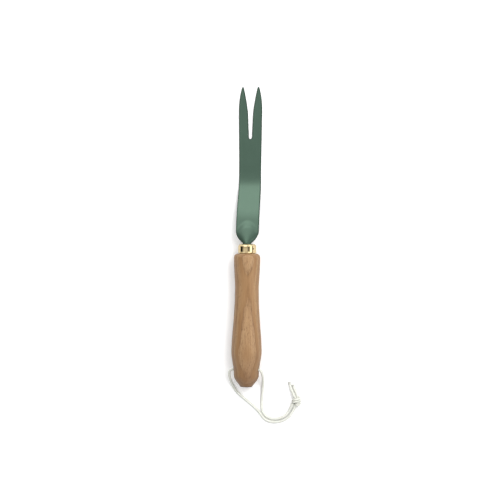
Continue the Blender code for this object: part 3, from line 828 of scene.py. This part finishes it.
def make_pin(material):
    """The pin that holds ferrule and tang: a straight shank and a domed head, right of the ferrule's top."""
    bottom, foot = FERRULE_RADIUS - PIN_DEPTH, PIN_RADIUS * PIN_FOOT_SHARE
    profile = [(bottom, PIN_RADIUS - foot), (bottom + foot, PIN_RADIUS)]
    for sine, cosine in quarter(PIN_HEAD_RINGS)[:-1]:
        profile.append((FERRULE_RADIUS + PIN_HEAD_HEIGHT * sine, PIN_RADIUS * cosine))
    middle = (SHOULDER_Y + FACE_Y) / 2
    points = []
    for out, radius in profile:
        for sine, cosine in circle(SMALL_SIDES):
            side = radius * cosine
            x = side * math.cos(PIN_ANGLE) + out * math.sin(PIN_ANGLE)
            z = AXIS_Z + out * math.cos(PIN_ANGLE) - side * math.sin(PIN_ANGLE)
            points.append((x, middle + radius * sine, z))
    mesh = outward(mesh_of("pin_skin", points, tube_faces(len(profile), SMALL_SIDES)))
    return add_piece("pin_skin", mesh, material, ["ferrule_pin"])


def crank_fall(along):
    """How far the sheet has fallen at a distance along the blade, before the crank is scaled to its drop."""
    fall = 0.0
    for (start, slope), (end, next_slope) in zip(CRANK, CRANK[1:]):
        run = min(max(along, start), end) - start
        fall += run * (slope + (next_slope - slope) * run / (end - start) / 2)
    return fall


def crank_height(along):
    """Height of the sheet's middle plane: level at the neck, ever steeper beyond, easing into the front."""
    return AXIS_Z - CRANK_DROP * crank_fall(along) / crank_fall(CRANK[-1][0])


def ease(share):
    """From 0 to 1 with level ends."""
    share = min(1.0, max(0.0, share))
    return share * share * (3 - 2 * share)


def outer_edge(along):
    """Half of the sheet's width at a distance along the blade."""
    base, waist, front = BASE_WIDTH / 2, WAIST_WIDTH / 2, FRONT_WIDTH / 2
    tip = (TIP_SPACING + TIP_WIDTH) / 2
    taper_start = BLADE_REACH - TINE_TAPER_LENGTH
    if along <= SHOULDER_START:
        return CROWN_RADIUS
    if along < SHOULDER_END:
        share = (along - SHOULDER_START) / (SHOULDER_END - SHOULDER_START)
        return CROWN_RADIUS + (base - CROWN_RADIUS) * (1 - (1 - share) ** SHOULDER_FULLNESS)
    if along < WAIST_AT:
        return base + (waist - base) * ease((along - BASE_END) / (WAIST_AT - BASE_END))
    if along < taper_start:
        return waist + (front - waist) * ease((along - WAIST_AT) / (taper_start - WAIST_AT))
    return front - (front - tip) * ((along - taper_start) / TINE_TAPER_LENGTH) ** 2


def inner_edge(along):
    """Half of the notch's width between the tines, and 0 behind its round end."""
    if along <= NOTCH_FLOOR:
        return 0.0
    if along < NOTCH_FLOOR + NOTCH_RADIUS:
        return math.sqrt(NOTCH_RADIUS**2 - (NOTCH_FLOOR + NOTCH_RADIUS - along) ** 2)
    straight = NOTCH_RADIUS + (along - NOTCH_FLOOR - NOTCH_RADIUS) * math.tan(NOTCH_DRAFT)
    straight_at_tip = NOTCH_RADIUS + (NOTCH_DEPTH - NOTCH_RADIUS) * math.tan(NOTCH_DRAFT)
    flare = (TIP_SPACING - TIP_WIDTH) / 2 - straight_at_tip
    share = max(0.0, 1 - (BLADE_REACH - along) / TINE_FLARE_LENGTH)
    return straight + flare * share**1.5


def edges_with_round_tip(along):
    """(inner, outer) with the last bit of each tine rounded in plan."""
    inner, outer = inner_edge(along), outer_edge(along)
    middle, half = (inner + outer) / 2, (outer - inner) / 2
    share = (BLADE_REACH - along) / (TIP_WIDTH / 2)
    if share >= 1:
        return inner, outer
    half *= max(TIP_LEAST_SHARE, math.sqrt(max(0.0, 1 - (1 - share) ** 2)))
    return middle - half, middle + half


def boss_height(across, along):
    """Height of the fan-shaped boss above the sheet's middle plane: half round at the neck, then a wide, low
    dome whose crest falls evenly to a rounded nose.
    """
    if along >= BOSS_NOSE_START + BOSS_NOSE_LENGTH:
        return 0.0
    share = max(0.0, (along - SHOULDER_START) / (BOSS_NOSE_START - SHOULDER_START))
    foot = min(CROWN_RADIUS + BOSS_SPREAD * max(0.0, along - SHOULDER_START), outer_edge(along))
    crest = AXIS_Z + CROWN_RADIUS - BOSS_FALL * share - crank_height(along)
    past_nose = along + BOSS_NOSE_ROUNDING * (across / (BASE_WIDTH / 2)) ** 2 - BOSS_NOSE_START
    section = max(0.0, 1 - (across / foot) ** 2) ** (0.5 + 0.5 * min(1.0, BOSS_DOMING * share))
    return crest * section * (1 - ease(past_nose / BOSS_NOSE_LENGTH))


def stepped(start, end, spacing):
    """Numbers from start up to but not including end, about a spacing apart."""
    steps = max(1, round((end - start) / spacing))
    return [start + (end - start) * step / steps for step in range(steps)]


def distance_to_line(places, line):
    """Distance in plan from each place to a line of points."""
    starts, span = line[:-1], line[1:] - line[:-1]
    length_squared = np.maximum((span**2).sum(1), LEAST_SQUARE)
    distances = []
    for part in np.array_split(places, max(1, len(places) // COMPARED_AT_ONCE)):
        offset = part[:, None, :] - starts[None]
        share = np.clip((offset * span[None]).sum(2) / length_squared[None], 0, 1)
        distances.append(np.sqrt(((offset - share[..., None] * span[None]) ** 2).sum(2)).min(1))
    return np.concatenate(distances)


def rows_between(places):
    """Numbers from the first place up to the last one, by (place, spacing from there on) pairs."""
    rows = []
    for (start, spacing), (end, _) in zip(places, places[1:]):
        rows += stepped(start, end, spacing)
    return rows


def blade_stations():
    """Distances along the blade at which its mesh has a row, closest where its form or outline changes."""
    behind_notch = (
        (NECK_BACK, 0.0004),
        (SHOULDER_START, 0.0005),
        (SHOULDER_END, 0.0004),
        (BOSS_NOSE_START + BOSS_NOSE_LENGTH, 0.0012),
        (CRANK[-1][0], 0.0030),
        (NOTCH_FLOOR - 0.0012, 0.00015),
        (NOTCH_FLOOR, None),
    )
    along_tines = (
        (NOTCH_FLOOR + NOTCH_RADIUS, 0.0020),
        (BLADE_REACH - TINE_FLARE_LENGTH, 0.0010),
        (BLADE_REACH - 0.0040, 0.0004),
        (BLADE_REACH - TIP_ROWS_LENGTH, None),
    )
    stations = rows_between(behind_notch)
    stations += [NOTCH_FLOOR + NOTCH_RADIUS * (1 - cosine) for _, cosine in quarter(NOTCH_ROWS)[:-1]]
    stations += rows_between(along_tines)
    return stations + [BLADE_REACH - TIP_ROWS_LENGTH * cosine for _, cosine in quarter(TIP_ROWS)]


def make_blade(material):
    """The sheet with rounded edges: its middle surface, thickened by a weight that falls at the outline."""
    stations = blade_stations()
    outline = [edges_with_round_tip(along) for along in stations]
    near = [1 - cosine for _, cosine in quarter(EDGE_COLUMNS)]
    points = []
    for along, (inner, outer) in zip(stations, outline):
        width = outer - inner
        margin = min(EDGE_ROUND, width * EDGE_SHARE)
        row = [inner + margin * share for share in near]
        flat = width - 2 * margin
        row += [inner + margin + flat * step / MIDDLE_COLUMNS for step in range(1, MIDDLE_COLUMNS)]
        row += [outer - margin * share for share in reversed(near)]
        points += [(x, along) for x in row]
    columns = 2 * len(near) + MIDDLE_COLUMNS - 1
    rows = len(stations)
    line = [(outer, along) for (_, outer), along in zip(outline, stations)]
    inside = [(inner, along) for (inner, _), along in zip(outline, stations) if along >= NOTCH_FLOOR]
    line = np.array(line + list(reversed(inside)))
    gap = distance_to_line(np.array(points), line)
    half = BLADE_THICKNESS / 2
    inward = np.clip(gap / EDGE_ROUND, 0, 1)
    drop = EDGE_ROUND * (1 - np.sqrt(1 - (1 - inward) ** 2))
    weights = (half - drop) / half
    solid = [(x, along, crank_height(along) + boss_height(x, along)) for x, along in points]
    faces = []
    for row in range(rows - 1):
        for column in range(columns - 1):
            corner = row * columns + column
            faces.append((corner, corner + 1, corner + columns + 1, corner + columns))
    shaping = new_object("blade_shaping", mesh_of("blade_skin", solid, faces))
    shaping.location = (0.0, FACE_Y, 0.0)
    group = shaping.vertex_groups.new(name="thickness")
    for index, weight in enumerate(weights):
        group.add([index], float(weight), "REPLACE")
    mirror = shaping.modifiers.new("Other half", "MIRROR")
    mirror.merge_threshold = MERGE_WITHIN
    sheet = shaping.modifiers.new("Sheet", "SOLIDIFY")
    sheet.thickness = BLADE_THICKNESS
    sheet.offset = 0.0
    sheet.vertex_group = "thickness"
    sheet.thickness_vertex_group = 0.0
    made = shaped_mesh("blade_skin", shaping)
    places = np.empty(len(made.vertices) * 3)
    made.vertices.foreach_get("co", places)
    places = places.reshape(-1, 3)
    in_plan = np.stack([np.abs(places[:, 0]), places[:, 1]], axis=1)
    # Closeness to the outline, for the coat's painted edge shade and its duller gloss there
    rim = made.attributes.new("rim", "FLOAT", "POINT")
    rim.data.foreach_set("value", np.clip(1 - distance_to_line(in_plan, line) / RIM_WIDTH, 0, 1))
    made.transform(Matrix.Translation((0.0, FACE_Y, 0.0)))
    return add_piece("blade_skin", outward(made), material, ["blade"])


def underside(across, along):
    """The lower face of the sheet, boss and all."""
    return crank_height(along) + boss_height(across, along) - BLADE_THICKNESS / 2


def make_tang(material):
    """The rod from the handle's bore to under the boss, its end pressed flat against the sheet."""
    stations = stepped(TANG_BACK, 0.0, TANG_HIDDEN_SPACING)
    stations += stepped(0.0, TANG_REACH - TANG_END_LENGTH, TANG_SEEN_SPACING)
    stations += [TANG_REACH - TANG_END_LENGTH * cosine for _, cosine in quarter(TANG_END_ROWS)]
    points = []
    for along in stations:
        taper = min(1.0, (along - TANG_BACK) / TANG_TAPER_LENGTH)
        end = min(1.0, (TANG_REACH - along) / TANG_END_LENGTH)
        radius = TANG_TIP_RADIUS + (TANG_RADIUS - TANG_TIP_RADIUS) * taper
        radius *= TANG_END_SHARE + (1 - TANG_END_SHARE) * math.sqrt(1 - (1 - end) ** 2)
        for sine, cosine in circle(SMALL_SIDES):
            x, z = radius * sine, AXIS_Z + radius * cosine
            if along > 0.0:
                z = min(z, underside(x, along) - TANG_GAP)
            points.append((x, FACE_Y + along, z))
    mesh = outward(mesh_of("tang_skin", points, tube_faces(len(stations), SMALL_SIDES)))
    return add_piece("tang_skin", mesh, material, ["tang"])


def make_weld(material):
    """A rippled bead in the corner between rod and sheet: up one side, round the end, down the other."""
    near_side = [(-WELD_SIDE, along) for along in stepped(WELD_START, TANG_REACH, WELD_SPACING)]
    path = list(near_side)
    for step in range(WELD_TURN_STEPS + 1):
        angle = math.pi * step / WELD_TURN_STEPS
        bulge = WELD_SIDE * WELD_END_BULGE * math.sin(angle)
        path.append((-WELD_SIDE * math.cos(angle), TANG_REACH + bulge))
    path += [(-x, along) for x, along in reversed(near_side)]
    sink = WELD_RADIUS * WELD_SINK
    route = [Vector((x, FACE_Y + along, underside(x, along) - sink)) for x, along in path]
    fine = np.array([tuple(point) for point in spread_evenly(route, WELD_RINGS)])
    sides, ups = frames_along(fine)
    points = []
    for index, (place, side, up) in enumerate(zip(fine, sides, ups)):
        near_end = min(1.0, index / WELD_END_RINGS, (len(fine) - 1 - index) / WELD_END_RINGS)
        ripple = 1 + WELD_RIPPLE * math.sin(index * WELD_RIPPLE_TURN)
        rounding = WELD_END_SHARE + (1 - WELD_END_SHARE) * math.sqrt(1 - (1 - near_end) ** 2)
        radius = WELD_RADIUS * ripple * rounding
        points += [place + radius * (cosine * side + sine * up) for sine, cosine in circle(WELD_SIDES)]
    mesh = outward(mesh_of("weld_skin", points, tube_faces(len(fine), WELD_SIDES)))
    return add_piece("weld_skin", mesh, material, ["tang_weld"])


def frames_along(route, headings=(None, None)):
    """Two cross directions that don't twist along a route of numpy points. A heading sets the route's
    direction at its start or end.
    """
    tangents = np.gradient(route, axis=0)
    for row, heading in zip((0, -1), headings):
        if heading is not None:
            tangents[row] = heading
    tangents /= np.linalg.norm(tangents, axis=1)[:, None]
    side = np.cross(tangents[0], (0.0, 0.0, 1.0))
    if np.linalg.norm(side) < 0.1:
        side = np.cross(tangents[0], (1.0, 0.0, 0.0))
    sides = []
    for tangent in tangents:
        side = side - tangent * side.dot(tangent)
        side = side / np.linalg.norm(side)
        sides.append(side)
    sides = np.array(sides)
    return sides, np.cross(tangents, sides)


def braid_relief(angle, along, radius):
    """(height, valley) of a braid's surface, for two sets of yarns that pass over and under: how far it
    stands from its mean radius, and its depth between the yarns from 0 to 1.
    """
    pitch = radius * BRAID_PITCH
    first = (angle / (2 * np.pi) + along / pitch) * YARNS
    second = (-angle / (2 * np.pi) + along / pitch) * YARNS
    over = np.cos(np.pi * (first + second)) * np.cos(np.pi * (first - second))
    share = 0.5 + 0.5 * np.tanh(BRAID_CROSSING * over)
    ridges = np.abs(np.cos(np.pi * first)) * share + np.abs(np.cos(np.pi * second)) * (1 - share)
    return radius * BRAID_RELIEF * (ridges - MEAN_RIDGE), np.clip(1 - ridges / VALLEY_BELOW, 0, 1)


def cord_steps(route):
    """Points along a route of the cord, a step apart."""
    return spread_evenly(route, max(LEAST_CORD_STEPS, round(route_length(route) / CORD_STEP)))


def braided_tube(route, rounded_ends=(False, False), squeeze=1.0, headings=(None, None)):
    """Points, faces and the points' valley depths of a closed tube with a braided surface along a route of
    Vectors, squeezed between its ends.
    """
    radius = CORD_DIAMETER / 2
    length = route_length(route)
    spread = np.array([tuple(point) for point in cord_steps(route)])
    sides, ups = frames_along(spread, headings)
    count = len(spread)
    along = np.linspace(0, length, count)
    angles = np.linspace(0, 2 * np.pi, CORD_SIDES, endpoint=False)
    squeezed_from, squeezed_to = SQUEEZED_BETWEEN
    tightness = (1.0, squeeze, squeeze, 1.0)
    reach = radius * np.interp(along / length, (0.0, squeezed_from, squeezed_to, 1.0), tightness)
    for ended, distance in zip(rounded_ends, (along, length - along)):
        if ended:
            near = np.clip(distance / (radius * ROUND_END_LENGTH), 0, 1)
            reach = reach * np.sqrt(1 - (1 - near) ** 2 * ROUND_END_FALL)
    relief, valley = braid_relief(angles[None, :], along[:, None], radius)
    plain = np.clip(np.minimum(along, length - along) / PLAIN_END, 0, 1)[:, None]
    relief, valley = relief * plain, valley * plain
    distance = reach[:, None] + relief * (reach[:, None] / radius)
    ring = np.cos(angles)[None, :, None] * sides[:, None, :]
    ring = ring + np.sin(angles)[None, :, None] * ups[:, None, :]
    points = (spread[:, None, :] + distance[..., None] * ring).reshape(-1, 3).tolist()
    points += [spread[0].tolist(), spread[-1].tolist()]
    return points, fanned_faces(count, CORD_SIDES), [*valley.ravel().tolist(), 0.0, 0.0]


def cord_mesh(name, points, faces, valleys):
    """A braided mesh whose points carry the depth between the yarns, for the painted shade there."""
    mesh = mesh_of(name, points, faces)
    mesh.attributes.new("yarn_valley_shade", "FLOAT", "POINT").data.foreach_set("value", valleys)
    return mesh


def in_place(places):
    """Vectors in metres from places of the cord's routes."""
    hole = Vector((0.0, HOLE_Y, 0.0))
    return [hole + Vector(place) / 1000 for place in places]


def curve_between(before, places, after):
    """A smooth curve through the places alone, which heads on from those before and towards those after."""
    fine = curve_through([*before, *places, *after])
    return fine[CURVE_STEPS * len(before) : len(fine) - CURVE_STEPS * len(after)]


def join_heading(before, after):
    """The direction that two pieces of cord share where they meet, from the places either side of it."""
    return Vector(after) - Vector(before)


def make_cord(material):
    """The cord from the handle through its free stretches and its knot to the two tails."""
    end = MOUTH_X - INSIDE_GAP
    inside = curve_through([Vector((-end, HOLE_Y, AXIS_Z)), Vector((end, HOLE_Y, AXIS_Z))])
    mesh = cord_mesh("cord_in_handle", *braided_tube(inside))
    add_piece("cord_in_handle", mesh, material, ["lanyard_in_handle"])
    for name, places, side, node in (
        ("cord_left_tail", LEFT_TAIL, 1, "lanyard_left_tail"),
        ("cord_right_tail", RIGHT_TAIL, -1, "lanyard_right_tail"),
    ):
        last = knot_places(side)[-1]
        route = curve_between(in_place([last]), in_place(places), [])
        headings = (join_heading(last, places[1]), None)
        mesh = cord_mesh(name, *braided_tube(route, rounded_ends=(False, True), headings=headings))
        tip = mesh.attributes.new("tip", "FLOAT", "POINT")
        near = [max(0.0, 1 - (vertex.co - route[-1]).length / TIP_LENGTH) for vertex in mesh.vertices]
        tip.data.foreach_set("value", near)
        add_piece(name, mesh, material, [node])
    knot = make_knot(material)
    for name, places, side, node in (
        ("cord_left_strand", LEFT_ROUTE, -1, "lanyard_left_strand"),
        ("cord_right_strand", RIGHT_ROUTE, 1, "lanyard_right_strand"),
    ):
        mouth = Vector((side * MOUTH_X, HOLE_Y, AXIS_Z))
        straight = mouth + Vector((side * MOUTH_STRAIGHT, 0.0, 0.0))
        first = knot_places(-side)[0]
        route = [mouth, *curve_between([], [straight, *in_place(places)], in_place([first]))]
        mesh = cord_mesh(name, *braided_tube(route, headings=(None, join_heading(places[-2], first))))
        piece = add_piece(name, mesh, material, [node])


def knot_band():
    """The doubled cord's middle line through an overhand knot, each place with the direction from it to the
    strand that comes from the handle's left.
    """
    band = list(KNOT_IN)
    across, up = KNOT_TURN_RADIUS
    for step in range(KNOT_STEPS + 1):
        share = step / KNOT_STEPS
        turn = KNOT_TURNS[0] + (KNOT_TURNS[1] - KNOT_TURNS[0]) * share
        along = KNOT_TURN_PLACES[0] + (KNOT_TURN_PLACES[1] - KNOT_TURN_PLACES[0]) * share
        band.append(((across * math.cos(turn), along, up * math.sin(turn)), (0.0, -1.0, 0.0)))
    return band + list(KNOT_OUT)


def knot_places(side):
    """One strand's places through the knot: the left strand's for side 1, the right one's for -1."""
    centre = Vector(KNOT_CENTRE)
    half = side * KNOT_HALF_SPREAD
    return [centre + Vector(middle) + half * Vector(toward) for middle, toward in knot_band()]


def make_knot(material):
    """Both strands through one tight overhand knot, with the depth of its creases for the cotton's painted
    shade.
    """
    points, faces, valleys, rings, middles = [], [], [], [], []
    for side, strand, tail in ((1, LEFT_ROUTE, LEFT_TAIL), (-1, RIGHT_ROUTE, RIGHT_TAIL)):
        turns = knot_places(side)
        through = in_place([strand[-1], *turns, tail[0]])
        route = curve_between(in_place([strand[-2]]), through, in_place([tail[1]]))
        headings = (join_heading(strand[-2], turns[0]), join_heading(turns[-1], tail[1]))
        spread = cord_steps(route)
        tube_points, tube_faces, tube_valleys = braided_tube(route, squeeze=KNOT_SQUEEZE, headings=headings)
        faces += [[index + len(points) for index in face] for face in tube_faces]
        points += tube_points
        valleys += tube_valleys
        rows = np.repeat(np.arange(len(spread)), CORD_SIDES)
        rings.append(np.append(rows, (0, len(spread) - 1)) + STRAND_STEPS_APART * len(middles))
        middles.append(np.array([tuple(place) for place in spread]))
    mesh = cord_mesh("cord_knot", points, faces, valleys)
    own = np.concatenate(rings)
    line = np.concatenate(middles)
    numbers = [np.arange(len(middle)) + STRAND_STEPS_APART * index for index, middle in enumerate(middles)]
    number = np.concatenate(numbers)
    nearest = []
    parts = np.array_split(np.array(points), CREASE_PARTS)
    for part, at in zip(parts, np.array_split(own, CREASE_PARTS)):
        apart = np.linalg.norm(part[:, None, :] - line[None], axis=2)
        apart[np.abs(at[:, None] - number[None]) * CORD_STEP < SAME_STRETCH] = 1.0
        nearest.append(apart.min(1))
    # Painted shade: how deep in a crease each point lies, from its nearness to other stretches
    depth = 1 - (np.concatenate(nearest) - CORD_DIAMETER / 2 * KNOT_SQUEEZE) / CREASE_REACH
    mesh.attributes.new("crease", "FLOAT", "POINT").data.foreach_set("value", np.clip(depth, 0, 1))
    return add_piece("cord_knot", mesh, material, ["lanyard_knot"])


def make_camera():
    """The photograph's viewing angle: from above, leaning towards the tool's right."""
    back = Vector((math.sin(CAMERA_LEAN), 0.0, math.cos(CAMERA_LEAN)))
    across = Vector((math.cos(CAMERA_LEAN), 0.0, -math.sin(CAMERA_LEAN)))
    upward = Vector((0.0, 1.0, 0.0))
    right = math.cos(CAMERA_ROLL) * across + math.sin(CAMERA_ROLL) * upward
    up = -math.sin(CAMERA_ROLL) * across + math.cos(CAMERA_ROLL) * upward
    lens = bpy.data.cameras.new("camera")
    lens.sensor_width = SENSOR_WIDTH
    lens.lens = SENSOR_WIDTH * (CAMERA_DISTANCE / METRES_PER_PIXEL) / PICTURE_PIXELS
    camera = new_object("camera", lens)
    place = Matrix.Translation(Vector(CAMERA_TARGET) + back * CAMERA_DISTANCE)
    camera.matrix_world = place @ Matrix((right, up, back)).transposed().to_4x4()
    bpy.context.scene.camera = camera


def make_floor():
    """A pale floor, brighter to the camera than in the light that it returns."""
    corners = [(x * FLOOR_HALF, y * FLOOR_HALF, FLOOR_Z) for x, y in ((-1, -1), (1, -1), (1, 1), (-1, 1))]
    floor_mesh = mesh_of("floor", corners, [(0, 1, 2, 3)])
    material, nodes = new_material("pale_floor")
    seen = nodes.node("ShaderNodeLightPath").outputs["Is Camera Ray"]
    colour = nodes.mix(seen, grey(FLOOR_BOUNCE), grey(FLOOR_SHOWN))
    nodes.shade({"Base Color": colour, "Roughness": 1.0, "Specular IOR Level": 0.0})
    floor_mesh.materials.append(material)
    floor = new_object("floor", floor_mesh)


def make_dome():
    """The soft light all round, with the bands and the panel that gloss shows."""
    world = bpy.data.worlds.new("studio")
    world.use_nodes = True
    background = world.node_tree.nodes["Background"]
    sky = Nodes(world.node_tree)
    ray = sky.node("ShaderNodeLightPath")
    shown = sky.math("MAXIMUM", ray.outputs["Is Camera Ray"], ray.outputs["Is Transmission Ray"])
    direction = sky.node("ShaderNodeTexCoord").outputs["Generated"]
    toward = sky.node("ShaderNodeSeparateXYZ", {"Vector": direction}).outputs
    turn = sky.math("ARCTAN2", toward[0], toward[2])
    share = sky.math("MULTIPLY_ADD", turn, 1 / math.pi, 0.5, clamp=True)
    across = sky.ramp(share, [((degrees + 90) / 180, level / DOME_SCALE) for degrees, level in DOME])
    halves = [sky.math("MULTIPLY_ADD", value, 0.5, 0.5) for value in toward]
    away = sky.ramp(halves[0], [(x / 2 + 0.5, level / DOME_SCALE) for x, level in AWAY])
    level = sky.mix(sky.ramp(sky.math("ABSOLUTE", toward[1]), AWAY_WEIGHT), across, away)
    gap = sky.ramp(toward[1], GAP)
    level = sky.mix(1.0, level, gap, "MULTIPLY")
    panel = sky.ramp(halves[1], [(y / 2 + 0.5, level / DOME_SCALE) for y, level in PANEL_ALONG])
    panel_width = sky.ramp(halves[0], [(x / 2 + 0.5, weight) for x, weight in PANEL_ACROSS])
    level = sky.mix(panel_width, level, sky.mix(1.0, level, panel, "ADD"))
    sky.feed(background.inputs["Color"], sky.mix(shown, level, grey(1 / DOME_SCALE)))
    background.inputs["Strength"].default_value = DOME_SCALE
    bpy.context.scene.world = world


def make_lamps():
    """Area lamps that face the tool."""
    for name, place, size, radiance, in_gloss in LAMPS:
        lamp = bpy.data.lights.new(name, "AREA")
        lamp.shape = "RECTANGLE"
        lamp.size, lamp.size_y = size
        lamp.energy = radiance * math.pi * size[0] * size[1]
        light = new_object(name, lamp)
        light.location = place
        light.visible_glossy = in_gloss
        light.rotation_mode = "QUATERNION"
        light.rotation_quaternion = (-Vector(place)).to_track_quat("-Z", "Y")


make_camera()
make_cord(cotton())
make_blade(powder_coat())
tang_steel = steel()
make_tang(tang_steel)
make_weld(tang_steel)
make_ferrule(brass())
make_pin(pin_metal())
make_handle(ash_wood())
make_floor()
make_dome()
make_lamps()
bpy.context.scene.view_settings.view_transform = "Standard"
